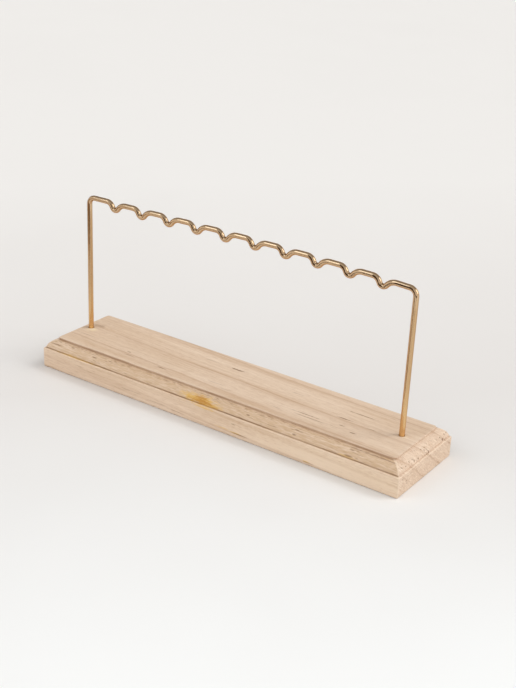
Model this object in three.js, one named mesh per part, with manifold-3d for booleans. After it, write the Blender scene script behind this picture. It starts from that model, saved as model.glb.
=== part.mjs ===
// Jewelry stand: a moulded pine board that carries one bent gilt wire rail.
// Millimetres, +Z up. The origin is the middle of the board's underside, +X runs along the board
// and -Y is the front.
import * as THREE from 'three';
import { mergeVertices } from 'three/addons/utils/BufferGeometryUtils.js';
import Module from 'manifold-3d';

// Board
const boardLength = 250;
const boardWidth = 59.3;
const boardThickness = 19;
const arris = 0.5; // sanded edge round the underside

// Moulding routed along all four top edges, sized inwards and upwards from the outer face
const faceHeight = 12.2; // plain upright face below the moulding
const ledgeWidth = 1; // narrow ledge that the cutter leaves on top of that face
const creaseHeight = 12.7; // where the ledge meets the round
const roundRadius = 6.9; // convex sweep from the crease up to the riser
const mouldingWidth = 6.4; // from the outer face in to the flat top
const riserHeight = 1.2; // small upright step from the round to the flat top
const roundSteps = 10;

// Wire and the notches along the rail, all bends measured on the wire's centreline
const wireDiameter = 3.1;
const notchCount = 10;
const notchPitch = 20.25;
const notchDepth = 7.2; // from the flats down to where the lines of the two walls meet
const fallAngle = THREE.MathUtils.degToRad(73); // left wall of each notch, nearly upright
const riseAngle = THREE.MathUtils.degToRad(54); // right wall, which leans back further
const fallShoulder = 4.4; // bend from a flat into the left wall
const rootBend = 2.5;
const riseShoulder = 6.8; // bend from the right wall out to the next flat
const notchShift = -0.5; // the row of notches against the middle between the legs
const cornerBend = 4.2; // from each leg into the rail
const legSpan = 222.2; // between the two legs' centrelines
const railOffset = -2.5; // the pair of holes is drilled a little nearer the left end
const railSetBack = 1.4; // and a little behind the middle of the board
const railHeight = 103.4; // centreline at the corners, as a mean of the two
const railCrown = 1.8; // how far the rail bows up in the middle
const railTilt = 0.8; // the left corner is this much above that mean and the right one below it
const railLean = 1.3; // carries the top of the bow over to the right
const flatRise = 0.25; // each flat climbs a little from left to right
const bendStep = THREE.MathUtils.degToRad(19); // largest turn between two sections of a bend
const wireSides = 12;

// Seats: blind holes that the legs drop into
const holeDepth = 12;
const holeGap = 0.3; // clearance round the leg and under its end
const holeSides = 24;

const wireRadius = wireDiameter / 2;
const holeRadius = wireRadius + holeGap;
const legXs = [railOffset - legSpan / 2, railOffset + legSpan / 2];
const legFoot = boardThickness - holeDepth + holeGap;

const wasm = await Module();
wasm.setup();

function toSolid(geometry) {
  geometry.deleteAttribute('normal');
  geometry.deleteAttribute('uv');
  const welded = mergeVertices(geometry);
  return new wasm.Manifold(new wasm.Mesh({
    numProp: 3,
    vertProperties: new Float32Array(welded.attributes.position.array),
    triVerts: new Uint32Array(welded.index.array),
  }));
}

function toGeometry(solid) {
  const { vertProperties, triVerts } = solid.getMesh();
  const geometry = new THREE.BufferGeometry();
  geometry.setAttribute('position', new THREE.BufferAttribute(vertProperties, 3));
  geometry.setIndex(new THREE.BufferAttribute(triVerts, 1));
  geometry.computeVertexNormals();
  return geometry;
}

// Cross-section of the board for one direction: flat underside, upright faces, and on both upper
// edges the ledge, the round and the riser.
function mouldedSection(width) {
  const outer = width / 2;
  const foot = new THREE.Vector2(outer - ledgeWidth, creaseHeight);
  const head = new THREE.Vector2(outer - mouldingWidth, boardThickness - riserHeight);
  const chord = head.clone().sub(foot);
  const sag = Math.sqrt(roundRadius ** 2 - chord.lengthSq() / 4);
  const inward = new THREE.Vector2(-chord.y, chord.x).normalize();
  const centre = foot.clone().add(head).divideScalar(2).addScaledVector(inward, sag);
  const footAngle = foot.clone().sub(centre).angle();
  const headAngle = head.clone().sub(centre).angle();

  const section = new THREE.Shape();
  section.moveTo(arris - outer, 0);
  section.lineTo(outer - arris, 0);
  section.lineTo(outer, arris);
  section.lineTo(outer, faceHeight);
  section.lineTo(foot.x, foot.y);
  section.absarc(centre.x, centre.y, roundRadius, footAngle, headAngle, false);
  section.lineTo(head.x, boardThickness);
  section.lineTo(-head.x, boardThickness);
  section.lineTo(-head.x, head.y);
  section.absarc(-centre.x, centre.y, roundRadius, Math.PI - headAngle, Math.PI - footAngle, false);
  section.lineTo(-outer, faceHeight);
  section.lineTo(-outer, arris);
  section.closePath();
  return section;
}

// The board is what two crossing moulded bars have in common, which mitres the moulding at the corners.
function boardGeometry() {
  const alongX = new THREE.ExtrudeGeometry(mouldedSection(boardWidth), {
    depth: boardLength, bevelEnabled: false, curveSegments: roundSteps / 2,
  });
  alongX.translate(0, 0, -boardLength / 2);
  alongX.applyMatrix4(new THREE.Matrix4().makeBasis(
    new THREE.Vector3(0, 1, 0), new THREE.Vector3(0, 0, 1), new THREE.Vector3(1, 0, 0)));

  const alongY = new THREE.ExtrudeGeometry(mouldedSection(boardLength), {
    depth: boardWidth, bevelEnabled: false, curveSegments: roundSteps / 2,
  });
  alongY.translate(0, 0, -boardWidth / 2);
  alongY.rotateX(Math.PI / 2);

  let board = toSolid(alongX).intersect(toSolid(alongY));
  for (const x of legXs) {
    const drill = new THREE.CylinderGeometry(holeRadius, holeRadius, 2 * holeDepth, holeSides);
    drill.rotateX(Math.PI / 2);
    drill.translate(x, railSetBack, boardThickness);
    board = board.subtract(toSolid(drill));
  }
  return toGeometry(board);
}

// Height of the rail's flats: a shallow bow from corner to corner, lower at the right and highest just
// right of the middle.
function flatHeight(x) {
  const along = 2 * (x - railOffset) / legSpan;
  const bow = railCrown * (1 - along ** 2);
  return railHeight - railTilt * along + bow + railLean * (along - along ** 3);
}

// Sharp corners of the wire's centreline in the X-Z plane, each with the radius it is bent to.
function railCorners() {
  const [leftX, rightX] = legXs;
  const corners = [
    { x: leftX, z: legFoot, radius: 0 },
    { x: leftX, z: flatHeight(leftX) - flatRise / 2, radius: cornerBend },
  ];
  for (let notch = 0; notch < notchCount; notch += 1) {
    const x = railOffset + notchShift + (notch - (notchCount - 1) / 2) * notchPitch;
    const fallX = x - notchDepth / Math.tan(fallAngle);
    const riseX = x + notchDepth / Math.tan(riseAngle);
    corners.push({ x: fallX, z: flatHeight(fallX) + flatRise / 2, radius: fallShoulder });
    corners.push({ x, z: flatHeight(x) - notchDepth, radius: rootBend });
    corners.push({ x: riseX, z: flatHeight(riseX) - flatRise / 2, radius: riseShoulder });
  }
  corners.push({ x: rightX, z: flatHeight(rightX) + flatRise / 2, radius: cornerBend });
  corners.push({ x: rightX, z: legFoot, radius: 0 });
  return corners;
}

function headingVector(heading) {
  return new THREE.Vector3(Math.cos(heading), 0, Math.sin(heading));
}

// Stations along the wire: its two ends, and for every bend its start, its finish and even steps between.
function wireStations(corners) {
  const points = corners.map(({ x, z }) => new THREE.Vector3(x, railSetBack, z));
  const headings = points.slice(1).map((point, i) => Math.atan2(point.z - points[i].z, point.x - points[i].x));
  const stations = [{ point: points[0], tangent: headingVector(headings[0]) }];
  for (let i = 1; i < points.length - 1; i += 1) {
    const { radius } = corners[i];
    const turn = headings[i] - headings[i - 1];
    const side = Math.sign(turn) * Math.PI / 2;
    const reach = radius * Math.tan(Math.abs(turn) / 2);
    const centre = points[i].clone()
      .addScaledVector(headingVector(headings[i - 1]), -reach)
      .addScaledVector(headingVector(headings[i - 1] + side), radius);
    const steps = Math.ceil(Math.abs(turn) / bendStep);
    for (let step = 0; step <= steps; step += 1) {
      const heading = headings[i - 1] + turn * step / steps;
      stations.push({
        point: centre.clone().addScaledVector(headingVector(heading + side), -radius),
        tangent: headingVector(heading),
      });
    }
  }
  stations.push({ point: points.at(-1), tangent: headingVector(headings.at(-1)) });
  return stations;
}

// A curve that steps from station to station, so straights take one step and bends take several.
class WirePath extends THREE.Curve {
  constructor(stations) {
    super();
    this.stations = stations;
  }

  blend(t, key, target) {
    const place = t * (this.stations.length - 1);
    const before = Math.min(Math.floor(place), this.stations.length - 2);
    return target.lerpVectors(this.stations[before][key], this.stations[before + 1][key], place - before);
  }

  getPoint(t, target = new THREE.Vector3()) {
    return this.blend(t, 'point', target);
  }

  getTangent(t, target = new THREE.Vector3()) {
    return this.blend(t, 'tangent', target).normalize();
  }

  getUtoTmapping(u) {
    return u;
  }
}

function railGeometry() {
  const stations = wireStations(railCorners());
  const wireSection = new THREE.Shape();
  wireSection.absarc(0, 0, wireRadius, 0, 2 * Math.PI, false);
  return new THREE.ExtrudeGeometry(wireSection, {
    steps: stations.length - 1,
    curveSegments: wireSides / 2,
    bevelEnabled: false,
    extrudePath: new WirePath(stations),
  });
}

function piece(name, geometry, look) {
  const mesh = new THREE.Mesh(geometry, new THREE.MeshStandardMaterial(look));
  mesh.name = name;
  return mesh;
}

const stand = new THREE.Group();
stand.add(piece('wood_base', boardGeometry(), { color: 0xdcc1a2, roughness: 0.75, metalness: 0 }));
stand.add(piece('wire_rail', railGeometry(), { color: 0xcfa56a, roughness: 0.28, metalness: 1 }));

export default stand;
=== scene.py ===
import math
import random

import bpy
import numpy as np
from mathutils import Matrix, Vector, geometry, noise


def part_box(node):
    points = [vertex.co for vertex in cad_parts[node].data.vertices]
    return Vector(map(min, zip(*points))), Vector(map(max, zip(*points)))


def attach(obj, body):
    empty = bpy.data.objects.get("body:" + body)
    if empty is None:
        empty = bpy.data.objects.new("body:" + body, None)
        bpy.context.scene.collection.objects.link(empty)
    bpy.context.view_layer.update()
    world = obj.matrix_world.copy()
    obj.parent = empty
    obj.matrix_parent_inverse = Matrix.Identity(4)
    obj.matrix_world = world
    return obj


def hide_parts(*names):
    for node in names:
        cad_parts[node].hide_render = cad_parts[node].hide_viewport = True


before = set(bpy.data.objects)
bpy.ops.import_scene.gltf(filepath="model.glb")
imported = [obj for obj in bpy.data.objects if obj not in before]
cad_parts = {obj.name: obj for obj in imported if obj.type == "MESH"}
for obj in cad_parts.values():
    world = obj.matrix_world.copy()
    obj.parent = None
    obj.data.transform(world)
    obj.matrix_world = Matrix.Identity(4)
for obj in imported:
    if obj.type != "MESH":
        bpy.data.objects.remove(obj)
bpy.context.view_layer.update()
scene = bpy.context.scene
scene.view_settings.view_transform = "Standard"
mm = 0.001  # sizes are written in millimetres, meshes are made in metres
print("frame loaded:", ", ".join(sorted(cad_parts)))


def tone(red, green, blue):
    # a picture colour, 0 to 255, as the linear colour that a node takes
    parts = [value / 255 for value in (red, green, blue)]
    linear = [p / 12.92 if p <= 0.04045 else ((p + 0.055) / 1.055) ** 2.4 for p in parts]
    return (*linear, 1.0)


# camera, as the photograph was taken

photoView = {
    "azimuth": 33.974,  # degrees from straight in front towards the right end
    "elevation": 24.012,
    "roll": 2.76,
    "distance": 701.1,
    "target": (7.45, 9.79, 40.01),
    "lens": 63.74,
    "sensorWidth": 36.0,
    "clipStart": 10.0,
}


def placeCamera(view):
    around = math.radians(view["azimuth"])
    above = math.radians(view["elevation"])
    tilt = math.radians(view["roll"])
    back = Vector((math.sin(around) * math.cos(above), -math.cos(around) * math.cos(above),
                   math.sin(above)))
    right = Vector((math.cos(around), math.sin(around), 0))
    up = back.cross(right)
    sideways = math.cos(tilt) * right + math.sin(tilt) * up
    upright = -math.sin(tilt) * right + math.cos(tilt) * up
    turn = Matrix((sideways, upright, back)).transposed().to_4x4()
    place = Vector(view["target"]) * mm + back * view["distance"] * mm
    camera = bpy.data.objects.new("photoCamera", bpy.data.cameras.new("photoCamera"))
    camera.data.lens = view["lens"]
    camera.data.sensor_width = view["sensorWidth"]
    camera.data.clip_start = view["clipStart"] * mm
    camera.matrix_world = Matrix.Translation(place) @ turn
    scene.collection.objects.link(camera)
    scene.camera = camera


placeCamera(photoView)
print("camera placed")


# helpers for meshes

def makeObject(name, points, faces, marks):
    # a smooth piece from points in millimetres, with a value or vector at each point for each mark
    mesh = bpy.data.meshes.new(name)
    mesh.from_pydata((np.asarray(points) * mm).tolist(), [], faces)
    mesh.polygons.foreach_set("use_smooth", [True] * len(mesh.polygons))
    for mark, values in marks.items():
        values = np.asarray(values, dtype=np.float32)
        kind = "FLOAT_VECTOR" if values.ndim == 2 else "FLOAT"
        layer = mesh.attributes.new(mark, kind, "POINT")
        layer.data.foreach_set("vector" if values.ndim == 2 else "value", values.ravel())
    mesh.update()
    made = bpy.data.objects.new(name, mesh)
    scene.collection.objects.link(made)
    return made


def makePlain(name, points, faces, material):
    # a flat-faced piece of the studio, from points in metres
    mesh = bpy.data.meshes.new(name)
    mesh.from_pydata(points, [], faces)
    mesh.materials.append(material)
    made = bpy.data.objects.new(name, mesh)
    scene.collection.objects.link(made)
    return made


def ringQuads(first, second, flipped=False):
    # faces between two closed rings of point numbers
    quads = []
    for i in range(len(first)):
        j = (i + 1) % len(first)
        others = (first[j], second[j], second[i])
        quads.append((first[i], *(reversed(others) if flipped else others)))
    return quads


def atHeight(outline, height):
    return np.column_stack((outline, np.full(len(outline), height)))


def lump(points, scales, size, height, seed):
    # smooth unevenness up to height, with bumps about as large as size
    shift = Vector((seed * 17.3, seed * 5.1, seed * 9.7))
    spots = points * scales
    return height * np.array([noise.noise(Vector(spot) / size + shift) for spot in spots])


# helpers for nodes

def addNode(tree, kind, inputs=None, **settings):
    made = tree.nodes.new("ShaderNode" + kind)
    for name, value in settings.items():
        setattr(made, name, value)
    for name, value in (inputs or {}).items():
        if isinstance(value, bpy.types.NodeSocket):
            tree.links.new(value, made.inputs[name])
        else:
            made.inputs[name].default_value = value
    return made


def calc(tree, operation, first, second):
    return addNode(tree, "Math", {0: first, 1: second}, operation=operation).outputs[0]


def weighted(tree, parts):
    # the sum of values, each times its weight
    total = None
    for value, weight in parts:
        part = calc(tree, "MULTIPLY", value, weight)
        total = part if total is None else calc(tree, "ADD", total, part)
    return total


def spread(tree, value, low, high, start=0.0, end=1.0, smooth=False):
    # carries the range low to high over to start to end, and holds it there
    ends = {"Value": value, "From Min": low, "From Max": high, "To Min": start, "To Max": end}
    kind = "SMOOTHSTEP" if smooth else "LINEAR"
    return addNode(tree, "MapRange", ends, interpolation_type=kind).outputs["Result"]


def blendColour(tree, factor, first, second):
    return addNode(tree, "Mix", {0: factor, 6: first, 7: second}, data_type="RGBA").outputs[2]


def vectorCalc(tree, operation, first, second):
    return addNode(tree, "VectorMath", {0: first, 1: second}, operation=operation).outputs


def stretch(tree, vector, scales):
    return vectorCalc(tree, "MULTIPLY", vector, scales)["Vector"]


def alongWay(tree, vector, way):
    return vectorCalc(tree, "DOT_PRODUCT", vector, way)["Value"]


def placeInMm(tree):
    metres = addNode(tree, "TexCoord").outputs["Object"]
    scaled = addNode(tree, "VectorMath", {0: metres, "Scale": 1 / mm}, operation="SCALE")
    return scaled.outputs["Vector"]


def meshMark(tree, name, output="Fac"):
    return addNode(tree, "Attribute", attribute_name=name).outputs[output]


def addBump(tree, shader, height, strength, distance):
    bump = addNode(tree, "Bump", {"Height": height, "Strength": strength,
                                  "Distance": distance * mm})
    tree.links.new(bump.outputs["Normal"], shader.inputs["Normal"])


def newMaterial(name, plain):
    # a material with these plain values on its shader's own sockets
    made = bpy.data.materials.new(name)
    made.use_nodes = True
    shader = made.node_tree.nodes["Principled BSDF"]
    for socket, value in plain.items():
        shader.inputs[socket].default_value = value
    return made, made.node_tree, shader


# shared effects, each a node group that the materials place with their own values

def newGroup(name, vectors, values, output):
    group = bpy.data.node_groups.new(name, "ShaderNodeTree")
    for kind, names in (("NodeSocketVector", vectors), ("NodeSocketFloat", values)):
        for socket in names:
            group.interface.new_socket(socket, in_out="INPUT", socket_type=kind)
    group.interface.new_socket(output, in_out="OUTPUT", socket_type="NodeSocketFloat")
    given = group.nodes.new("NodeGroupInput").outputs
    return group, given, group.nodes.new("NodeGroupOutput").inputs[output]


def makeToneDrift():
    # slow cloudy change over a surface, shared by the pine, the plating and the floor
    group, given, out = newGroup("toneDrift", ("Place",), ("Size", "Low", "High"), "Value")
    cloud = addNode(group, "TexNoise", {"Vector": given["Place"], "Detail": 3.0, "Roughness": 0.55,
                                        "Scale": calc(group, "DIVIDE", 1.0, given["Size"])})
    shown = (0.3, 0.7)  # the part of the noise that shows
    value = spread(group, cloud.outputs["Fac"], *shown, given["Low"], given["High"], smooth=True)
    group.links.new(value, out)
    return group


def makeDrawnGrain():
    # noise drawn out one way, shared by the pine's grain and the wire's drawing lines
    group, given, out = newGroup("drawnGrain", ("Place", "Stretch"),
                                 ("Detail", "Roughness", "Low", "High", "Start", "End"), "Value")
    grain = addNode(group, "TexNoise", {"Vector": stretch(group, given["Place"], given["Stretch"]),
                                        "Scale": 1.0, "Detail": given["Detail"],
                                        "Roughness": given["Roughness"]})
    ends = (given[name] for name in ("Low", "High", "Start", "End"))
    group.links.new(spread(group, grain.outputs["Fac"], *ends), out)
    return group


def makeWoodMark():
    # one mark in the wood: 1 at its centre, fading out at its reach, with a ragged edge
    group, given, out = newGroup("woodMark", ("Place", "Centre", "Reach"), ("Ragged",), "Mask")
    away = vectorCalc(group, "SUBTRACT", given["Place"], given["Centre"])["Vector"]
    scaled = vectorCalc(group, "DIVIDE", away, given["Reach"])["Vector"]
    far = addNode(group, "VectorMath", {0: scaled}, operation="LENGTH").outputs["Value"]
    edge = calc(group, "ADD", far, given["Ragged"])
    fades = (1.0, 0.25)  # from the reach to where the mark is full
    group.links.new(spread(group, edge, *fades, smooth=True), out)
    return group


toneDrift = makeToneDrift()
drawnGrain = makeDrawnGrain()
woodMark = makeWoodMark()


def drift(tree, place, size, low, high):
    values = {"Place": place, "Size": size, "Low": low, "High": high}
    return addNode(tree, "Group", values, node_tree=toneDrift).outputs["Value"]


def grainLayer(tree, place, scales, detail, rough, shown, becomes=(0.0, 1.0)):
    values = {"Place": place, "Stretch": scales, "Detail": detail, "Roughness": rough,
              "Low": shown[0], "High": shown[1], "Start": becomes[0], "End": becomes[1]}
    return addNode(tree, "Group", values, node_tree=drawnGrain).outputs["Value"]


# pine board

boardShape = {
    "mouldingWidth": 6.4,
    "riserHeight": 1.2,
    "creaseHeight": 12.7,
    "ledgeWidth": 1.0,
    "faceHeight": 12.2,
    "roundRadius": 6.9,
    "roundPoints": 80,
    "undersideArris": 0.5,
    # sanding at the top edge, the riser's foot, the crease, the ledge and the underside
    "ease": (0.26, 0.11, 0.1, 0.26, 0.25),
    "cornerEase": (0.55, 1.6),  # at the outer face, at the flat top
    "cornerEaseFrom": 2.5,  # inset from which a corner's easing grows
    "cornerCells": 4,
    "cellsLong": 400,
    "cellsWide": 150,
    "profileReach": 20.0,  # how far the profile is drawn over the two flats
    "profileStep": 0.015,
    "edgeRows": (0, 0.09, 0.2, 0.36, 0.6),  # rows of points on both sides of an edge
    "closestRows": 0.05,
    "longestStep": (0.42, 1.4),  # on the moulding, on the plain faces
    "capInset": 7.1,
    "undersideInset": 2.5,
    "capCells": (2.2, 3.52),  # on the top, on the underside
    "flatInset": 30.0,  # stands for any place on the two flats
    "holePlaces": ((-113.6, 1.4), (108.6, 1.4)),
    "holeCells": 48,
    "holeMargin": 0.6,  # the flat top's own points keep this far from a hole
    # radius and depth of a hole, from the worn rim down
    "holeProfile": ((2.35, 0.0), (2.05, 0.012), (1.83, 0.06), (1.7, 0.17), (1.63, 0.4), (1.62, 4.0),
                    (1.62, 8.0), (1.62, 11.6), (1.4, 12.0), (0.6, 12.0)),
}
boardWear = {
    # unevenness: stretch, size, height, seed
    "wave": ((0.35, 1.0, 1.0), 9.0, 0.05, 1),
    "ripple": ((0.6, 1.0, 1.0), 2.2, 0.018, 2),
    "endRough": ((1.0, 1.0, 1.0), 0.9, 0.035, 3),
    "rippleInset": 8.0,  # the flat top has no ripple
    "levelHeights": (0.6, 1.6),  # unevenness comes in between these, so the underside stays flat
    "mouldedInset": 0.4,  # where the cutter's work starts
    # reach of the lines, inwards and upwards
    "creaseReach": (0.26, 0.3),
    "grooveReach": (0.17, 0.2),
    "grooveDepth": 0.28,
    # riser: painted shade with some cutter scorch, its reach on the long sides and on the sawn ends
    "riserReach": (0.34, 0.2),  # on the long sides, on the sawn ends
    "riserDrop": 2.2,
    # painted shade in the crease and painted contact shadow along the bottom edge: their reach and
    # strength
    "footReach": 0.55,
    "footInset": 1.5,
    "creaseStrength": (1.0, 0.2),  # on the long sides, on the sawn ends
    "footShadeStrength": (0.5, 0.2),
    # worn arrises: inset, reach inwards, reach upwards
    "ledgeWorn": (0.1, 0.3, 0.3),
    "topWorn": (0.25, 0.4, 0.25),
    "cornerWorn": (1.3, 0.8),  # on the plain faces, on the moulding
    "wornStrength": (0.75, 0.3),  # all round, along the top of the sawn ends
    "endTopDrop": 2.0,
    # painted highlight on the pale lip of a tear
    "lipHighlightStrength": (0.35, 0.9),  # pale edge of a tear, on the long sides, on the sawn ends
    "lipRange": (0.2, 0.55, 0.25),  # how torn it is: full from, gone at, fading over
    "burntInset": (5.0, 1.0),  # middle and reach
    "frayedInset": (2.1, 1.0),
    "frayedStrength": (0.1, 0.9, 0.25),  # all over the ends' moulding, more in its middle, below it
    "sawnMargin": 0.2,
    "tearEdge": 1.3,  # above 1, a tear ends more abruptly than a bell curve
    # torn grain on the moulding: place along the side, inset, half length along, half length
    # across, slant, depth
    "tears": {
        "right": (
            (-1.2, 3.2, 0.4, 0.4, 0.0, 0.3), (2.9, 2.4, 0.3, 1.6, -1.05, 0.5),
            (1.0, 2.2, 0.4, 0.45, 0.0, 0.35), (4.4, 1.1, 0.6, 0.35, 0.0, 0.4),
            (-15.6, 2.3, 0.45, 0.4, 0.3, 0.3), (-12.2, 2.25, 0.5, 0.4, 0.4, 0.35),
            (-11.0, 1.6, 0.6, 0.35, 0.3, 0.38), (-6.8, 1.4, 0.6, 0.3, 0.0, 0.35),
            (-19.8, 1.8, 0.4, 0.3, 0.0, 0.2), (-24.0, 2.3, 0.4, 0.3, 0.0, 0.2),
            (19.0, 2.2, 0.5, 0.4, 0.3, 0.35), (20.8, 1.3, 0.9, 0.35, 0.2, 0.38),
            (24.0, 2.2, 0.5, 0.4, 0.0, 0.3), (26.2, 2.2, 0.4, 0.35, 0.0, 0.25),
        ),
        "front": (
            (-104.0, 4.1, 2.2, 0.26, 0.0, 0.16), (-85.8, 3.1, 2.4, 0.3, 0.0, 0.18),
            (-74.0, 4.0, 2.0, 0.26, 0.0, 0.16), (59.5, 3.7, 1.9, 0.26, 0.0, 0.16),
            (94.2, 3.7, 1.9, 0.3, 0.0, 0.16), (59.0, 1.7, 1.4, 0.25, 0.0, 0.14),
            (28.0, 2.5, 1.5, 0.25, 0.0, 0.12), (93.5, 1.35, 3.0, 0.2, 0.0, 0.14),
        ),
    },
    # on the two hidden sides: how many, and the ranges of the same values, None for no slant
    "hiddenTears": {
        "left": (9, (-26, 26), (1.2, 3.0), (0.3, 0.6), (0.3, 0.6), (-1.5, 0.8), (0.2, 0.35)),
        "back": (12, (-112, 112), (1.2, 4.6), (0.8, 1.8), (0.25, 0.4), None, (0.1, 0.18)),
    },
    "tearSeed": 5,
}


def mouldingProfile(shape, thickness):
    # inset and height from the flat top over the moulding and down to the underside, edges eased
    foot = np.array((shape["ledgeWidth"], shape["creaseHeight"]))
    head = np.array((shape["mouldingWidth"], thickness - shape["riserHeight"]))
    chord = head - foot
    span = np.linalg.norm(chord)
    sag = math.sqrt(shape["roundRadius"] ** 2 - span ** 2 / 4)
    centre = (foot + head) / 2 + np.array((chord[1], -chord[0])) / span * sag
    headAngle, footAngle = (math.atan2(*(end - centre)[::-1]) for end in (head, foot))
    angles = np.linspace(headAngle, footAngle, shape["roundPoints"])
    curve = [centre + shape["roundRadius"] * np.array((math.cos(a), math.sin(a))) for a in angles]
    arris = shape["undersideArris"]
    path = np.array([(shape["profileReach"], thickness), (shape["mouldingWidth"], thickness),
                     *curve, (0, shape["faceHeight"]), (0, arris), (arris, 0),
                     (shape["profileReach"], 0)])
    run = np.concatenate(([0], np.cumsum(np.linalg.norm(np.diff(path, axis=0), axis=1))))
    dense = np.arange(0, run[-1], shape["profileStep"])
    inset, height = (np.interp(dense, run, path[:, axis]) for axis in (0, 1))

    # rows of points: close together at the five edges, further apart between them
    edges = [run[1], run[2], run[-5], run[-4], (run[-3] + run[-2]) / 2]
    start = run[1] - (shape["capInset"] - shape["mouldingWidth"])
    end = run[-2] + shape["undersideInset"] - arris
    stops = {start, end}
    for edge in edges:
        for offset in shape["edgeRows"]:
            stops.update((edge - offset, edge + offset))
    stops = sorted(stop for stop in stops if start <= stop <= end)
    rows = [stops[0]]
    for stop in stops[1:]:
        last = rows[-1]
        if stop - last < shape["closestRows"]:
            continue
        longest = shape["longestStep"][0 if last < edges[3] else 1]
        parts = max(1, math.ceil((stop - last) / longest))
        rows += [last + (stop - last) * (part + 1) / parts for part in range(parts)]

    profile = []
    for row in rows:
        ease = np.interp(row, edges, shape["ease"])
        weight = np.exp(-0.5 * ((dense - row) / ease) ** 2)
        weight /= weight.sum()
        profile.append((weight @ inset, weight @ height))
    return profile


def loopAround(inset, shape, length, width):
    # one rectangle round the board, corners eased, starting at the front left and going right
    ease = np.interp(inset, (shape["cornerEaseFrom"], shape["mouldingWidth"]), shape["cornerEase"])
    farX = length / 2 - inset - ease
    farY = width / 2 - inset - ease
    along = np.linspace(-1, 1, shape["cellsLong"] + 1)
    across = np.linspace(-1, 1, shape["cellsWide"] + 1)
    turn = np.linspace(0, math.pi / 2, shape["cornerCells"] + 1)[1:-1]
    sides = ((along * farX, np.full(along.shape, -farY), 0.0, -ease),
             (np.full(across.shape, farX), across * farY, ease, 0.0),
             (-along * farX, np.full(along.shape, farY), 0.0, ease),
             (np.full(across.shape, -farX), -across * farY, -ease, 0.0))
    points = []
    for number, (xs, ys, pushX, pushY) in enumerate(sides):
        points.append(np.column_stack((xs + pushX, ys + pushY)))
        angles = turn + (number - 1) * math.pi / 2
        points.append(np.column_stack((xs[-1] + ease * np.cos(angles),
                                       ys[-1] + ease * np.sin(angles))))
    return np.concatenate(points)


def loopSides(shape):
    # the side that each point of a loop is on, or "corner" on an eased corner
    counts = (shape["cellsLong"] + 1, shape["cellsWide"] + 1) * 2
    names = []
    for name, count in zip(("front", "right", "back", "left"), counts):
        names += [name] * count + ["corner"] * (shape["cornerCells"] - 1)
    return np.array(names)


def capTriangles(border, holes, cell, margin):
    # a flat cap over the border loop, with round holes left open: its inner points and its faces
    rings = [border] + holes
    edges = []
    owners = []  # the ring that each point is on, and -1 for the inner points
    for number, ring in enumerate(rings):
        start = len(owners)
        edges += [(start + i, start + (i + 1) % len(ring)) for i in range(len(ring))]
        owners += [number] * len(ring)
    low = border.min(axis=0)
    high = border.max(axis=0)
    counts = np.round((high - low) / cell).astype(int)
    xs, ys = (np.linspace(low[axis], high[axis], counts[axis] + 1)[1:-1] for axis in (0, 1))
    inner = np.array([(x, y) for x in xs for y in ys])
    for hole in holes:
        middle = hole.mean(axis=0)
        reach = np.linalg.norm(hole[0] - middle)
        inner = inner[np.linalg.norm(inner - middle, axis=1) > reach + margin]
    owners += [-1] * len(inner)
    spots = [Vector(spot) for spot in np.concatenate(rings + [inner]).tolist()]
    wholeHull, sameSpot = 0, 1e-6
    result = geometry.delaunay_2d_cdt(spots, edges, [], wholeHull, sameSpot)
    triangles = []
    for face in result[2]:
        middle = sum((Vector(result[0][i]) for i in face), Vector((0, 0))) / 3
        corners = [result[3][i][0] for i in face]
        rim = {owners[i] for i in corners}
        inHole = len(rim) == 1 and max(rim) > 0  # all three corners are on one hole's rim
        outside = abs(middle.x) > high[0] or abs(middle.y) > high[1]
        if not inHole and not outside:
            triangles.append(corners)
    return inner, triangles


def makeBoard(shape):
    low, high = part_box("wood_base")
    length, width, thickness = (high - low) / mm
    profile = mouldingProfile(shape, thickness)
    loops = [loopAround(inset, shape, length, width) for inset, height in profile]
    around = len(loops[0])
    points = [atHeight(loop, height) for loop, (inset, height) in zip(loops, profile)]
    insets = [np.full(around, inset) for inset, height in profile]
    sides = [loopSides(shape)] * len(loops)
    rows = [list(range(row * around, (row + 1) * around)) for row in range(len(loops))]
    faces = []
    for upper, lower in zip(rows, rows[1:]):
        faces += ringQuads(upper, lower, flipped=True)
    looped = count = around * len(loops)
    topCell, undersideCell = shape["capCells"]

    # flat top with the two drilled holes
    turn = np.arange(shape["holeCells"]) * 2 * math.pi / shape["holeCells"]
    circle = np.column_stack((np.cos(turn), np.sin(turn)))
    rim = shape["holeProfile"][0][0]
    holes = [np.array(place) + rim * circle for place in shape["holePlaces"]]
    inner, triangles = capTriangles(loops[0], holes, topCell, shape["holeMargin"])
    numbers = list(rows[0])
    for place in shape["holePlaces"]:
        rings = []
        for radius, depth in shape["holeProfile"]:
            points.append(atHeight(np.array(place) + radius * circle, thickness - depth))
            rings.append(list(range(count, count + len(circle))))
            count += len(circle)
        for upper, lower in zip(rings, rings[1:]):
            faces += ringQuads(upper, lower)
        faces.append(tuple(rings[-1]))
        numbers += rings[0]
    points.append(atHeight(inner, thickness))
    numbers += range(count, count + len(inner))
    count += len(inner)
    faces += [tuple(numbers[i] for i in triangle) for triangle in triangles]

    # underside
    inner, triangles = capTriangles(loops[-1], [], undersideCell, 0.0)
    numbers = rows[-1] + list(range(count, count + len(inner)))
    points.append(atHeight(inner, 0.0))
    faces += [tuple(numbers[i] for i in reversed(triangle)) for triangle in triangles]

    points = np.concatenate(points)
    extra = len(points) - looped
    insets = np.concatenate(insets + [np.full(extra, shape["flatInset"])])
    sides = np.concatenate(sides + [np.full(extra, "flat")])
    return points, faces, insets, sides, thickness


def tornTable(wear):
    # the tears seen in the photograph, and others like them on the two sides that it hides
    chance = random.Random(wear["tearSeed"])
    tears = [(side, *row) for side, rows in wear["tears"].items() for row in rows]
    for side, (count, *ranges) in wear["hiddenTears"].items():
        for _ in range(count):
            tears.append((side, *(chance.uniform(*ends) if ends else 0.0 for ends in ranges)))
    return tears


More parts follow.
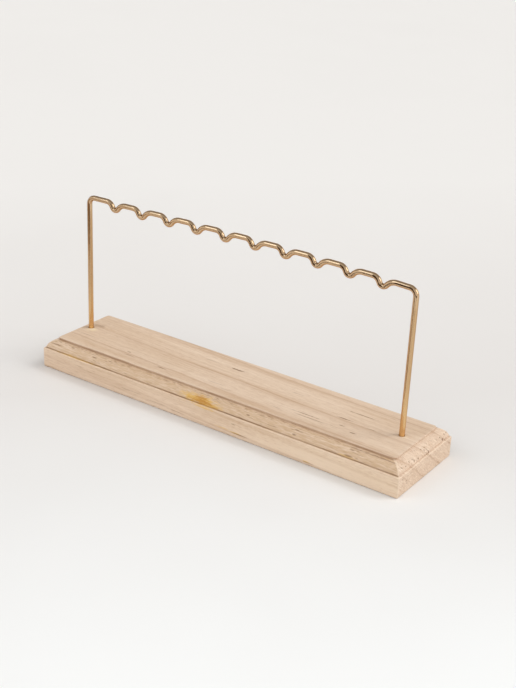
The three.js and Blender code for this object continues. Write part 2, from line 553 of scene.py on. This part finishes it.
def wearBoard(points, insets, sides, thickness):
    # tears, cutter waviness and worn corners as moves along the normals, with masks for the finish
    shape, wear = boardShape, boardWear
    heights = points[:, 2]
    topInset, faceHeight = shape["mouldingWidth"], shape["faceHeight"]
    longSide = np.isin(sides, ("front", "back"))
    endGrain = np.isin(sides, ("left", "right"))
    moulded = (insets > wear["mouldedInset"]) & (insets < topInset) & (heights > faceHeight)
    routed = moulded & longSide
    corner = (sides == "corner") & (insets < topInset)

    def bySide(strengths):
        # the first strength on the long sides, the second on the sawn ends
        return np.where(endGrain, strengths[1], strengths[0])

    def nearInset(inset, reach):
        return np.exp(-((insets - inset) / reach) ** 2)

    def nearHeight(height, reach):
        return np.exp(-((heights - height) / reach) ** 2)

    torn = np.zeros(len(points))
    sunk = np.zeros(len(points))
    along = np.where(longSide, points[:, 0], points[:, 1])
    for side, place, inset, halfAlong, halfAcross, slant, depth in tornTable(wear):
        sideways = (along - place - slant * (insets - inset)) / halfAlong
        across = (insets - inset) / halfAcross
        mask = np.exp(-((sideways ** 2 + across ** 2) ** wear["tearEdge"]))
        mask *= (sides == side) & moulded
        torn = np.maximum(torn, mask)
        sunk = np.maximum(sunk, mask * depth)

    wave, ripple, endRough = (lump(points, *wear[name]) for name in ("wave", "ripple", "endRough"))
    level = np.interp(heights, wear["levelHeights"], (0, 1))
    uneven = wave * moulded + ripple * (insets < wear["rippleInset"])
    uneven += endRough * (endGrain & moulded)
    creaseAt = (shape["ledgeWidth"], shape["creaseHeight"])
    # the crease's painted shade, and a groove cut along it
    crease, groove = (nearInset(creaseAt[0], reach[0]) * nearHeight(creaseAt[1], reach[1])
                      for reach in (wear["creaseReach"], wear["grooveReach"]))
    move = uneven * level - sunk - wear["grooveDepth"] * groove

    # painted shade with some cutter scorch along the riser
    riser = nearInset(topInset, bySide(wear["riserReach"]))
    riser *= heights > thickness - wear["riserDrop"]
    # painted contact shadow along the bottom edge, joined with the crease's painted shade
    footContactShade = nearHeight(0, wear["footReach"]) * (insets < wear["footInset"])
    crease = np.maximum(crease * bySide(wear["creaseStrength"]),
                        footContactShade * bySide(wear["footShadeStrength"]))

    inset, inwards, upwards = wear["ledgeWorn"]
    wornAndLipHighlight = nearInset(inset, inwards) * nearHeight(faceHeight, upwards)
    inset, inwards, upwards = wear["topWorn"]
    topWorn = nearInset(topInset + inset, inwards) * nearHeight(thickness, upwards)
    wornAndLipHighlight = np.maximum(wornAndLipHighlight, topWorn)
    faceCorner, mouldedCorner = wear["cornerWorn"]
    wornAndLipHighlight = np.maximum(wornAndLipHighlight, faceCorner * (corner & (heights < faceHeight)))
    allRound, endTop = wear["wornStrength"]
    wornAndLipHighlight *= np.where(endGrain & (heights > thickness - wear["endTopDrop"]), endTop, allRound)
    wornAndLipHighlight = np.maximum(wornAndLipHighlight, mouldedCorner * (corner & moulded))
    lipFrom, lipTo, lipFade = wear["lipRange"]
    # painted highlight on the lips of the tears, joined with the rubbed arrises
    lipHighlight = np.clip(torn / lipFrom, 0, 1) * np.clip((lipTo - torn) / lipFade, 0, 1)
    wornAndLipHighlight = np.maximum(wornAndLipHighlight, lipHighlight * bySide(wear["lipHighlightStrength"]))

    allOver, middle, below = wear["frayedStrength"]
    frayed = np.where(moulded, allOver + middle * nearInset(*wear["frayedInset"]), below)
    sawn = endGrain & (insets < topInset + wear["sawnMargin"])
    return move, {"torn": torn, "riser": riser, "crease": crease, "wornAndLipHighlight": wornAndLipHighlight, "routed": routed,
                  "burnt": routed * nearInset(*wear["burntInset"]), "endGrain": sawn,
                  "frayed": endGrain * frayed}


def pineBoard():
    points, faces, insets, sides, thickness = makeBoard(boardShape)
    move, marks = wearBoard(points, insets, sides, thickness)
    board = makeObject("pineBoard", points, faces, marks)
    normals = np.empty(len(points) * 3)
    board.data.vertices.foreach_get("normal", normals)
    moved = points + normals.reshape(-1, 3) * move[:, None]
    board.data.vertices.foreach_set("co", (moved * mm).ravel())
    board.data.update()
    print("pine board:", len(points), "points,", len(faces), "faces")
    return board


pineLook = {
    "pale": tone(232, 210, 187),
    "warm": tone(206, 177, 147),
    "line": tone(170, 131, 100),
    "dash": tone(126, 90, 62),
    "routed": tone(193, 161, 125),
    "amber": tone(218, 174, 84),
    "resin": tone(176, 116, 36),
    # painted shade with some cutter scorch on the riser
    "riserScorchAndShade": tone(142, 104, 72),
    "burnt": tone(132, 94, 66),
    "frayed": tone(250, 238, 222),
    # painted shade in the crease and painted contact shadow along the bottom edge
    "creaseLine": tone(116, 78, 50),
    # rubbed arrises, and painted highlight on the tears' lips
    "wornAndLipHighlight": tone(240, 220, 197),
    "endPale": tone(243, 224, 203),
    "endDark": tone(194, 159, 131),
    # painted shade in the torn pits
    "tornPitShade": tone(112, 76, 50),
    "sap": tone(231, 210, 184),
    "halo": tone(248, 232, 190),
    "ringLean": (0.0271, 0.63, 0.78),  # the way that the growth rings are stacked in the board
    "ringBeside": (0.0, 0.78, -0.63),  # the way across the board that stays in one ring
    "ringRange": (-26.0, 40.0),
    "ringLines": (-15.9, -9.4, -3.0, 4.2, 14.8, 27.8, 38.0),
    "ringStrength": (0.5, 0.3, 0.35, 0.8, 1.0, 0.9, 0.8),
    "ringEdge": ((-4.5, 0.04), (-0.9, 0.27), (-0.12, 1.0), (0.28, 0.1)),  # offset and darkness
    # grain: stretch, detail, roughness, the part of the noise that shows, what that becomes
    "layers": {
        "slow": ((0.011, 0.05, 0.05), 1.0, 0.5, (0.2, 0.8), (-0.8, 0.8)),
        "wobble": ((0.05, 0.35, 0.35), 2.0, 0.5, (0.2, 0.8), (-0.35, 0.35)),
        "fade": ((0.014, 0.2, 0.2), 1.0, 0.5, (0.35, 0.65), (0.65, 1.0)),
        "bands": ((0.005, 0.24, 0.05), 2.0, 0.5, (0.32, 0.68)),
        "lines": ((0.009, 1.05, 0.16), 3.0, 0.6, (0.32, 0.68)),
        "fibres": ((0.06, 2.6, 2.2), 3.0, 0.6, (0.25, 0.75)),
        "flecks": ((0.2, 1.5, 1.2), 2.0, 0.65, (0.48, 0.68)),
        "pores": ((0.17, 2.1, 1.5), 1.0, 0.5, (0.64, 0.74)),
        "grit": ((0.18, 1.3, 1.3), 2.0, 0.6, (0.36, 0.64)),
        "ragged": ((0.35, 1.6, 1.6), 2.0, 0.5, (0.2, 0.8), (-0.45, 0.45)),
        "patch": ((0.028, 0.25, 0.25), 2.0, 0.5, (0.35, 0.65), (0.45, 1.0)),
        "dots": ((0.3, 1.5, 1.5), 2.0, 0.6, (0.5, 0.68)),
        "speckle": ((0.5, 1.5, 1.5), 3.0, 0.65, (0.32, 0.68)),
        "frayPale": ((0.5, 1.5, 0.4), 2.0, 0.6, (0.55, 0.68)),
        "frayDark": ((0.5, 1.5, 0.4), 2.0, 0.6, (0.41, 0.3)),
    },
    "cloud": ((0.35, 1.0, 1.0), 16.0),  # stretch and size
    "warmth": (0.36, 0.42, 0.22),  # from bands, lines and clouds
    "ductStretch": (0.12, 0.9, 0.8),
    "ductEdge": (0.26, 0.12),
    "ductShare": (0.78, 0.8),
    # how far each colour covers what is under it
    "cover": {"rings": 0.68, "fibres": 0.1, "burnt": 0.6, "riser": 0.78, "crease": 0.85,
              "endRings": 0.75, "endGrain": 0.66, "frayed": 0.4, "wornAndLipHighlight": 0.55},
    "fleckCover": (0.0, 0.4, 0.24, 0.0),  # fewer in the sapwood
    "sandCover": (0.1, 0.72),  # where the routed wood is smooth, where it is gritty
    "endTone": (0.6, 0.4),  # from speckles and lines
    "openGrain": (0.12, 0.4),  # pores and ducts, on sanded wood and on cut wood
    "resinStreaks": (0.3, 0.8, 0.6, 1.0),
    "wornGrit": (1.0, 0.5),
    "pitEdge": (0.25, 0.8),
    "pitCover": (0.76, 0.6),  # on the sawn ends, on the routed sides
    "roughness": (0.58, 0.72),
    "tornRoughness": 0.15,
    "specular": 0.35,
    # relief from fibres, rings, ducts, pores, routed grit and end-grain speckles
    "relief": (0.6, 0.5, -0.8, -0.5, -0.8, -1.6),
    "bump": (0.2, 0.4),  # strength and distance
}
# marks in the wood: centre x, y and z, reach along these, strength
pineMarks = {
    "dashes": (
        (81.5, 7.6, 19, 14, 0.5, 1.5, 0.75), (75, -2.2, 19, 9, 0.6, 1.5, 0.8),
        (55.5, -11.4, 19, 12.5, 0.55, 1.5, 0.7), (61, -14, 19, 14, 0.5, 1.5, 0.55),
        (78, -10, 19, 2.4, 0.7, 1.5, 0.7), (87, -13.6, 19, 2.6, 0.8, 1.5, 0.85),
        (93, -3.8, 19, 4.5, 0.5, 1.5, 0.5), (39, -15, 19, 5, 0.5, 1.5, 0.4),
        (-71, -11.6, 19, 2.2, 0.7, 1.5, 0.6), (-68.5, -15.2, 19, 5, 0.5, 1.5, 0.6),
        (-42, -16.4, 19, 5.5, 0.6, 1.5, 0.75), (-27, 11, 19, 8, 0.5, 1.5, 0.35),
        (38, 7, 19, 6, 0.8, 1.5, 0.3), (-7, -12, 19, 11, 0.5, 1.5, 0.3),
        (2, -15.4, 19, 9, 0.7, 1.5, 0.25), (-107, -8.7, 19, 13, 0.45, 1.5, 0.4),
        (-6.5, 10.4, 19, 6.5, 1.0, 2.0, 0.9), (-111, 6.6, 19, 5, 1.6, 2.0, 0.4),
        (-95, -29.6, 8.5, 4, 2.0, 0.4, 0.3), (-88, -29.6, 7.2, 14, 2.0, 0.4, 0.2),
        (109, -24.9, 17.4, 22, 0.7, 0.45, 0.6), (125, -25.4, 10.2, 2.0, 1.3, 0.45, 0.5),
        (125, -21.2, 7.2, 2.0, 1.0, 0.5, 0.6), (125, -20.6, 5.7, 2.0, 0.9, 0.45, 0.5),
        (-116, -26.8, 15.9, 6, 0.8, 0.5, 0.7), (25, -29.6, 2.8, 7.5, 2.0, 0.4, 0.8),
        (20, -29.6, 8.0, 1.8, 2.0, 0.4, 0.5), (-55, -29.6, 5.0, 9, 2.0, 0.35, 0.35),
        (-36, -29.6, 3.4, 9, 2.0, 0.35, 0.3), (-21, -29.6, 2.7, 8, 2.0, 0.4, 0.4),
        (70, -29.6, 1.6, 5, 2.0, 0.4, 0.5), (44, -27.4, 14.6, 4.5, 0.8, 0.4, 0.6),
        (62, -26.0, 16.4, 4, 0.8, 0.4, 0.5),
    ),
    "amber": (
        (-5.5, -27.6, 14.4, 17, 3.8, 3.8, 0.82), (0, -28.2, 13.6, 14, 2.2, 1.8, 0.8),
        (-1, -29.5, 11.9, 10, 1.6, 1.3, 0.6), (-102, -28.7, 12.8, 9, 1.0, 1.0, 0.55),
        (-97, -28.8, 12.6, 26, 1.1, 0.8, 0.4), (22, -29.6, 3.0, 5, 2.0, 0.6, 0.6),
        (12.5, -29.6, 3.5, 7, 2.0, 0.5, 0.4), (69, -29.6, 2.0, 4, 2.0, 0.5, 0.6),
        (93, -28.4, 13.2, 7, 0.9, 0.9, 0.4), (110, -24.3, 17.9, 14, 0.6, 0.5, 0.35),
    ),
    "resin": (
        (-3.8, -28.0, 13.8, 11.5, 2.4, 2.1, 1.0), (-5, -26.9, 15.2, 6, 2.1, 2.2, 0.9),
        (5, -28.5, 13.2, 7, 0.9, 0.8, 0.55),
    ),
    "sap": (
        (80, -30, 5, 85, 6, 9, 0.55),
    ),
    # pale rings round the two feet
    "halo": (
        (-111.2, -0.6, 19, 4.6, 4.0, 1.5, 0.4), (109.6, 0.6, 19, 3.4, 2.8, 1.5, 0.2),
    ),
}


def makePine():
    look = pineLook
    cover = look["cover"]
    material, tree, shader = newMaterial("barePine", {"Specular IOR Level": look["specular"]})
    place = placeInMm(tree)

    def times(first, second):
        return calc(tree, "MULTIPLY", first, second)

    def layer(name, where):
        return grainLayer(tree, where, *look["layers"][name])

    # growth rings, stacked aslant and bent a little along the board
    depth = alongWay(tree, place, look["ringLean"])
    for bend in ("slow", "wobble"):
        depth = calc(tree, "ADD", depth, layer(bend, place))
    low, high = look["ringRange"]
    ramp = addNode(tree, "ValToRGB", {"Fac": spread(tree, depth, low, high)})
    stops = ramp.color_ramp.elements
    for end in stops:
        end.color = (0, 0, 0, 1)
    for line, strength in zip(look["ringLines"], look["ringStrength"]):
        for offset, dark in look["ringEdge"]:
            stop = stops.new((line + offset - low) / (high - low))
            stop.color = (dark * strength,) * 3 + (1,)
    rings = times(ramp.outputs["Color"], layer("fade", place))

    # grain that follows the rings and is drawn out along the board
    lengthwise = addNode(tree, "SeparateXYZ", {0: place}).outputs["X"]
    beside = alongWay(tree, place, look["ringBeside"])
    grain = addNode(tree, "CombineXYZ", {"X": lengthwise, "Y": depth, "Z": beside}).outputs[0]
    bands, lines, fibres, flecks, pores = (
        layer(name, grain) for name in ("bands", "lines", "fibres", "flecks", "pores"))
    grit, speckle, ragged, patch, dots = (
        layer(name, place) for name in ("grit", "speckle", "ragged", "patch", "dots"))
    cells = addNode(tree, "TexVoronoi", {"Vector": stretch(tree, grain, look["ductStretch"]),
                                         "Scale": 1.0}, feature="F1").outputs
    chosen = addNode(tree, "SeparateColor", {0: cells["Color"]}).outputs[0]
    ducts = times(spread(tree, cells["Distance"], *look["ductEdge"], smooth=True),
                  spread(tree, chosen, *look["ductShare"]))

    def markMask(name):
        total = None
        for row in pineMarks[name]:
            centre, reach, strength = row[:3], row[3:6], row[6]
            values = {"Place": place, "Ragged": ragged, "Centre": centre, "Reach": reach}
            made = addNode(tree, "Group", values, node_tree=woodMark)
            mask = times(made.outputs["Mask"], strength)
            total = mask if total is None else calc(tree, "MAXIMUM", total, mask)
        return total

    torn, riser, crease, wornAndLipHighlight, routed, burnt, endGrain, frayed = (
        meshMark(tree, name) for name in
        ("torn", "riser", "crease", "wornAndLipHighlight", "routed", "burnt", "endGrain", "frayed"))

    cloudStretch, cloudSize = look["cloud"]
    cloud = drift(tree, stretch(tree, place, cloudStretch), cloudSize, 0.0, 1.0)
    warmth = weighted(tree, zip((bands, lines, cloud), look["warmth"]))
    sap = markMask("sap")
    sandy = spread(tree, grit, 0, 1, *look["sandCover"])
    endTone = weighted(tree, zip((speckle, lines), look["endTone"]))
    sawn = blendColour(tree, endTone, look["endPale"], look["endDark"])
    sawn = blendColour(tree, times(rings, cover["endRings"]), sawn, look["line"])
    frayed = times(frayed, cover["frayed"])
    cutWood = calc(tree, "MAXIMUM", routed, endGrain)
    openGrain = spread(tree, cutWood, 0, 1, *look["openGrain"])
    streaks = spread(tree, fibres, *look["resinStreaks"])
    rubbed = spread(tree, grit, 0, 1, *look["wornGrit"])
    pitCover = spread(tree, routed, 0, 1, *look["pitCover"])

    # coats of colour, each over the ones before it
    colour = blendColour(tree, warmth, look["pale"], look["warm"])
    for factor, shade in (
            (sap, look["sap"]),
            (times(rings, cover["rings"]), look["line"]),
            (times(fibres, cover["fibres"]), look["line"]),
            (times(flecks, spread(tree, sap, *look["fleckCover"])), look["line"]),
            # routed moulding: browner and sandy; painted shade with some cutter scorch on the riser
            # and in the crease, and painted contact shadow along the bottom edge
            (times(routed, sandy), look["routed"]),
            (times(times(burnt, dots), cover["burnt"]), look["burnt"]),
            (times(times(riser, cover["riser"]), patch), look["riserScorchAndShade"]),
            (times(times(crease, cover["crease"]), patch), look["creaseLine"]),
            # sawn ends: speckled end grain, frayed on the moulding
            (times(endGrain, cover["endGrain"]), sawn),
            (times(frayed, layer("frayPale", grain)), look["frayed"]),
            (times(frayed, layer("frayDark", grain)), look["dash"]),
            # pores, resin and dashes, then rubbed edges with painted highlights on the tears' lips,
            # and painted shade in the torn pits
            (times(pores, openGrain), look["dash"]),
            (times(ducts, openGrain), look["dash"]),
            (markMask("halo"), look["halo"]),
            (markMask("amber"), look["amber"]),
            (times(markMask("resin"), streaks), look["resin"]),
            (markMask("dashes"), look["dash"]),
            (times(times(wornAndLipHighlight, cover["wornAndLipHighlight"]), rubbed), look["wornAndLipHighlight"]),
            (times(spread(tree, torn, *look["pitEdge"]), pitCover), look["tornPitShade"])):
        colour = blendColour(tree, factor, colour, shade)
    tree.links.new(colour, shader.inputs["Base Color"])

    rough = calc(tree, "ADD", spread(tree, fibres, 0, 1, *look["roughness"]),
                 times(torn, look["tornRoughness"]))
    tree.links.new(rough, shader.inputs["Roughness"])
    raised = (fibres, rings, ducts, pores, times(routed, grit), times(endGrain, speckle))
    addBump(tree, shader, weighted(tree, zip(raised, look["relief"])), *look["bump"])
    return material


board = pineBoard()
board.data.materials.append(makePine())
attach(board, "base")
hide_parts("wood_base")


# gilt wire rail

railShape = {
    "wireDiameter": 3.1,
    "notchCount": 10,
    "notchPitch": 20.25,
    "notchDepth": 7.2,  # down to where the lines of the two walls meet
    "fallAngle": 73.0,  # left wall of a notch, degrees
    "riseAngle": 54.0,  # right wall
    "fallShoulder": 4.4,
    "rootBend": 2.5,
    "riseShoulder": 6.8,
    "notchShift": -0.5,
    "cornerBend": 4.2,
    "legSpan": 222.2,
    "middleX": -2.5,
    "planeY": 1.4,
    "railHeight": 103.4,
    "railCrown": 1.8,
    "railTilt": 0.8,
    "railLean": 1.3,
    "flatRise": 0.25,
    "footZ": 7.3,
    "wireSides": 32,
    "bendStep": 5.0,  # degrees
    "straightStep": 2.5,
    "footChamfer": 0.4,
    "flatten": 0.05,  # how far a tight bend squeezes the round section
}


def railCorners(shape):
    # sharp corners of the centreline with the radius that each is bent to
    fall = shape["notchDepth"] / math.tan(math.radians(shape["fallAngle"]))
    rise = shape["notchDepth"] / math.tan(math.radians(shape["riseAngle"]))
    climb = shape["flatRise"] / 2

    def flat(x):
        u = 2 * (x - shape["middleX"]) / shape["legSpan"]
        bow = shape["railCrown"] * (1 - u * u) + shape["railLean"] * (u - u ** 3)
        return shape["railHeight"] - shape["railTilt"] * u + bow

    left = shape["middleX"] - shape["legSpan"] / 2
    right = shape["middleX"] + shape["legSpan"] / 2
    corners = [(left, shape["footZ"], 0), (left, flat(left) - climb, shape["cornerBend"])]
    middle = shape["middleX"] + shape["notchShift"]
    for notch in range(shape["notchCount"]):
        x = middle + (notch - (shape["notchCount"] - 1) / 2) * shape["notchPitch"]
        corners += [(x - fall, flat(x - fall) + climb, shape["fallShoulder"]),
                    (x, flat(x) - shape["notchDepth"], shape["rootBend"]),
                    (x + rise, flat(x + rise) - climb, shape["riseShoulder"])]
    return corners + [(right, flat(right) + climb, shape["cornerBend"]), (right, shape["footZ"], 0)]


def wayOf(heading):
    return np.array((math.cos(heading), math.sin(heading)))


def wireStations(shape):
    # place, heading and curvature all along the centreline
    corners = railCorners(shape)
    spots = np.array([corner[:2] for corner in corners])
    headings = [math.atan2(b[1] - a[1], b[0] - a[0]) for a, b in zip(spots, spots[1:])]
    stations = [(spots[0], headings[0], 0.0)]

    def straightTo(spot, heading):
        start = stations[-1][0]
        parts = max(1, math.ceil(np.linalg.norm(spot - start) / shape["straightStep"]))
        for part in range(1, parts):
            stations.append((start + (spot - start) * part / parts, heading, 0.0))

    for i in range(1, len(spots) - 1):
        radius = corners[i][2]
        before = headings[i - 1]
        turn = headings[i] - before
        side = math.copysign(math.pi / 2, turn)
        first = spots[i] - wayOf(before) * radius * math.tan(abs(turn) / 2)
        centre = first + wayOf(before + side) * radius
        straightTo(first, before)
        steps = math.ceil(abs(math.degrees(turn)) / shape["bendStep"])
        for step in range(steps + 1):
            heading = before + turn * step / steps
            spot = centre - radius * wayOf(heading + side)
            bend = math.copysign(1 / radius, turn) * math.sqrt(math.sin(math.pi * (step / steps)))
            stations.append((spot, heading, bend))
    straightTo(spots[-1], headings[-1])
    stations.append((spots[-1], headings[-1], 0.0))
    return stations


def giltRail(shape):
    radius = shape["wireDiameter"] / 2
    cut = shape["footChamfer"]
    first, *between, last = wireStations(shape)
    rise = np.array((0.0, cut))
    stations = [(first[0], first[1], 0.0, radius - cut), (first[0] + rise, first[1], 0.0, radius)]
    stations += [(*station, radius) for station in between]
    stations += [(last[0] + rise, last[1], 0.0, radius), (last[0], last[1], 0.0, radius - cut)]
    around = shape["wireSides"]
    turn = np.arange(around) * 2 * math.pi / around
    points, lay, inner = [], [], []
    run = 0.0
    before = stations[0][0]
    for spot, heading, bend, size in stations:
        run += float(np.linalg.norm(spot - before))
        before = spot
        squeeze = shape["flatten"] * min(1.0, abs(bend) * radius)
        outward = wayOf(heading + math.pi / 2)  # to the left of the way along the wire
        offset = size * (1 - squeeze) * np.cos(turn)
        points.append(np.column_stack((spot[0] + outward[0] * offset,
                                       shape["planeY"] - size * (1 + squeeze) * np.sin(turn),
                                       spot[1] + outward[1] * offset)))
        lay.append(np.column_stack((np.full(around, run), size * np.cos(turn),
                                    size * np.sin(turn))))
        inner.append(np.clip(bend * radius * np.cos(turn), 0, 1))
    rows = [list(range(row * around, (row + 1) * around)) for row in range(len(stations))]
    faces = []
    for lower, upper in zip(rows, rows[1:]):
        faces += ringQuads(lower, upper)
    faces += [tuple(reversed(rows[0])), tuple(rows[-1])]
    rail = makeObject("giltRail", np.concatenate(points), faces,
                      {"wireLay": np.concatenate(lay), "innerBend": np.concatenate(inner)})
    print("gilt rail:", len(stations), "sections,", round(run), "mm of wire")
    return rail


giltLook = {
    "gold": tone(212, 181, 145),
    "legGold": tone(204, 169, 128),
    # amber: the mottle's warm tone, and painted reflection of the pine near the feet
    "amber": tone(236, 197, 142),
    "dull": tone(150, 106, 66),
    "edge": tone(200, 158, 112),
    # stretch, detail, roughness, the part of the noise that shows
    "drawn": ((0.03, 2.4, 2.4), 3.0, 0.6, (0.3, 0.7)),
    "specks": ((1.4, 1.4, 1.4), 2.0, 0.5, (0.62, 0.75)),
    "mottleSize": 5.0,
    # painted reflection of the pine, turning the legs amber near the feet
    "footReflectionHeights": (58.0, 21.0),  # the legs turn amber on the way down from one to the other
    "legHeights": (100.0, 88.0),
    "warmth": (0.15, 0.8),  # from the mottle, at the feet
    "dullness": (0.25, 0.45),  # of the specks, of the inner bends
    "roughness": (0.035, 0.09),
    "addedRoughness": (0.05, 0.13, 0.1),  # mottle, legs, which are less polished, and specks
    "relief": (0.5, 1.0),  # drawing lines, mottle
    "bump": (0.05, 0.4),  # strength and distance
    "lacquer": 0.12,
    "lacquerRoughness": 0.05,
}


def makeGilt():
    look = giltLook
    material, tree, shader = newMaterial("giltPlating", {
        "Metallic": 1.0, "Specular Tint": look["edge"], "Coat Weight": look["lacquer"],
        "Coat Roughness": look["lacquerRoughness"]})
    lay = meshMark(tree, "wireLay", "Vector")
    inner = meshMark(tree, "innerBend")
    drawn = grainLayer(tree, lay, *look["drawn"])
    specks = grainLayer(tree, lay, *look["specks"])
    mottle = drift(tree, lay, look["mottleSize"], 0.0, 1.0)
    height = addNode(tree, "SeparateXYZ", {0: placeInMm(tree)}).outputs["Z"]
    # painted reflection of the pine: warmer towards the feet
    foot = spread(tree, height, *look["footReflectionHeights"], smooth=True)
    leg = spread(tree, height, *look["legHeights"], smooth=True)

    colour = blendColour(tree, leg, look["gold"], look["legGold"])
    warmth = weighted(tree, zip((mottle, foot), look["warmth"]))
    colour = blendColour(tree, warmth, colour, look["amber"])
    for mask, amount in zip((specks, inner), look["dullness"]):
        colour = blendColour(tree, calc(tree, "MULTIPLY", mask, amount), colour, look["dull"])
    tree.links.new(colour, shader.inputs["Base Color"])
    added = weighted(tree, zip((mottle, leg, specks), look["addedRoughness"]))
    rough = calc(tree, "ADD", spread(tree, drawn, 0, 1, *look["roughness"]), added)
    tree.links.new(rough, shader.inputs["Roughness"])
    addBump(tree, shader, weighted(tree, zip((drawn, mottle), look["relief"])), *look["bump"])
    return material


rail = giltRail(railShape)
rail.data.materials.append(makeGilt())
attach(rail, "rail")
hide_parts("wire_rail")


# floor, light and surroundings, in metres

studio = {
    "floorHalf": 5.0,
    "floorTowards": (0.72, -0.69, 0.0),  # the way towards the camera
    # floor tone by how far that way, with painted shade in a band along the board
    "floorTonesAndShade": ((-0.45, tone(233, 230, 226)), (-0.03, tone(225, 221, 217)),
                   (0.12, tone(231, 229, 226)), (0.29, tone(243, 243, 241)),
                   (0.6, tone(234, 232, 229)), (0.9, tone(230, 227, 224))),
    "floorCloud": (0.35, -0.03, 0.03),  # size, and how far it shifts the tones
    "floorRoughness": 0.6,
    "floorSpecular": 0.05,
    # name, the way it comes from, strength, colour, spread in degrees, shows in the metal
    "lamps": (
        ("windowRight", (0.8, 0.34, 0.5), 0.8, (1.0, 1.0, 1.0), 40.0, True),
        ("ceilingPanel", (-0.511, -0.631, 0.584), 0.23, (0.88, 1.0, 1.16), 22.0, True),
        ("skylight", (0.47, 0.33, 0.82), 0.75, (1.0, 1.0, 1.0), 60.0, False),
        ("highWindow", (0.5, 0.4, 0.77), 0.52, (1.0, 1.0, 1.0), 20.0, False),
        ("rightFill", (0.9, -0.3, 0.3), 0.15, (1.0, 1.0, 1.0), 70.0, False),
        ("frontFill", (-0.18, -0.92, 0.35), 1.15, (1.0, 1.0, 1.0), 90.0, False),
    ),
    # dark cards that only the metal's reflections see, painted reflections of shade round the
    # table: places on the floor and height there
    "cards": {
        "mirroredShadeRoom": (tone(76, 54, 34), ((-0.12, -0.4, 0.45), (0.16, -0.4, 0.45))),
        "mirroredShadeEdge": (tone(72, 51, 33), ((-0.06, -0.185, 0.055), (0.02, -0.185, 0.085),
                                         (0.06, -0.185, 0.085))),
        "mirroredShadeSide": (tone(140, 112, 86), ((-0.29, -0.12, 0.09), (-0.2, -0.185, 0.05),
                                           (-0.06, -0.185, 0.055))),
        "mirroredShadeNear": (tone(132, 98, 68), ((0.045, -0.075, 0.025), (0.085, -0.075, 0.06))),
        "mirroredShadeCorner": (tone(72, 51, 33), ((0.14, -0.29, 0.07), (0.34, -0.16, 0.07))),
        "mirroredShadeBack": (tone(70, 54, 40), ((-0.3, 0.32, 0.15), (-0.32, 0.0, 0.15))),
    },
    "cardRoughness": 0.9,
    "room": (0.62, 0.34),  # light level in front of the table and behind it
    "roomTurn": (-0.45, 0.05),  # where one goes over into the other
    "seenBehind": tone(236, 232, 228),
    "backdropTop": (0.4, 0.22),  # rise over the horizon where the backdrop ends and starts to fade
}


def makeFloor():
    half = studio["floorHalf"]
    material, tree, shader = newMaterial("paleTable", {
        "Roughness": studio["floorRoughness"], "Specular IOR Level": studio["floorSpecular"]})
    corners = [(-half, -half, 0), (half, -half, 0), (half, half, 0), (-half, half, 0)]
    floor = makePlain("paleTable", corners, [(0, 1, 2, 3)], material)
    place = addNode(tree, "TexCoord").outputs["Object"]
    towards = alongWay(tree, place, studio["floorTowards"])
    cloud = drift(tree, place, *studio["floorCloud"])
    tones = studio["floorTonesAndShade"]
    start, end = tones[0][0], tones[-1][0]
    factor = calc(tree, "ADD", spread(tree, towards, start, end), cloud)
    # the ramp's darker stop along the board is painted shade
    ramp = addNode(tree, "ValToRGB", {"Fac": factor})
    stops = ramp.color_ramp.elements
    stops[0].color = tones[0][1]
    stops[1].color = tones[-1][1]
    for far, colour in tones[1:-1]:
        stops.new((far - start) / (end - start)).color = colour
    tree.links.new(ramp.outputs["Color"], shader.inputs["Base Color"])


def makeDarkCards():
    for name, (colour, path) in studio["cards"].items():
        plain = {"Base Color": colour, "Roughness": studio["cardRoughness"]}
        material, *_ = newMaterial(name, plain)
        points = [(x, y, 0) for x, y, _ in path] + list(path)
        count = len(path)
        faces = [(i, count + i, count + i + 1, i + 1) for i in range(count - 1)]
        card = makePlain(name, points, faces, material)
        # seen in reflections only: painted reflections of shade, lighting and shadowing nothing
        card.visible_camera = False
        card.visible_diffuse = False
        card.visible_shadow = False


def makeLamps():
    for name, way, strength, colour, width, shows in studio["lamps"]:
        light = bpy.data.lights.new(name, "SUN")
        light.energy = strength
        light.color = colour
        light.angle = math.radians(width)
        lamp = bpy.data.objects.new(name, light)
        lamp.location = way
        lamp.rotation_euler = Vector(way).to_track_quat("Z", "Y").to_euler()
        lamp.visible_glossy = shows
        scene.collection.objects.link(lamp)


def makeWorld():
    # a room that is dimmer behind, and a pale backdrop that the camera and the metal see
    world = bpy.data.worlds.new("quietStudio")
    world.use_nodes = True
    tree = world.node_tree
    direction = addNode(tree, "TexCoord").outputs["Generated"]
    way = addNode(tree, "SeparateXYZ", {0: direction}).outputs
    level = spread(tree, way["Y"], *studio["roomTurn"], *studio["room"], smooth=True)
    ray = addNode(tree, "LightPath").outputs
    seen = calc(tree, "MAXIMUM", ray["Is Camera Ray"], ray["Is Glossy Ray"])
    seen = calc(tree, "MAXIMUM", seen, ray["Is Transmission Ray"])
    backdrop = spread(tree, way["Z"], *studio["backdropTop"], smooth=True)
    seen = calc(tree, "MULTIPLY", seen, backdrop)
    shade = tree.nodes["Background"]
    tree.links.new(blendColour(tree, seen, level, studio["seenBehind"]), shade.inputs["Color"])
    shade.inputs["Strength"].default_value = 1.0
    scene.world = world


makeFloor()
makeDarkCards()
makeLamps()
makeWorld()
print("floor and light ready")
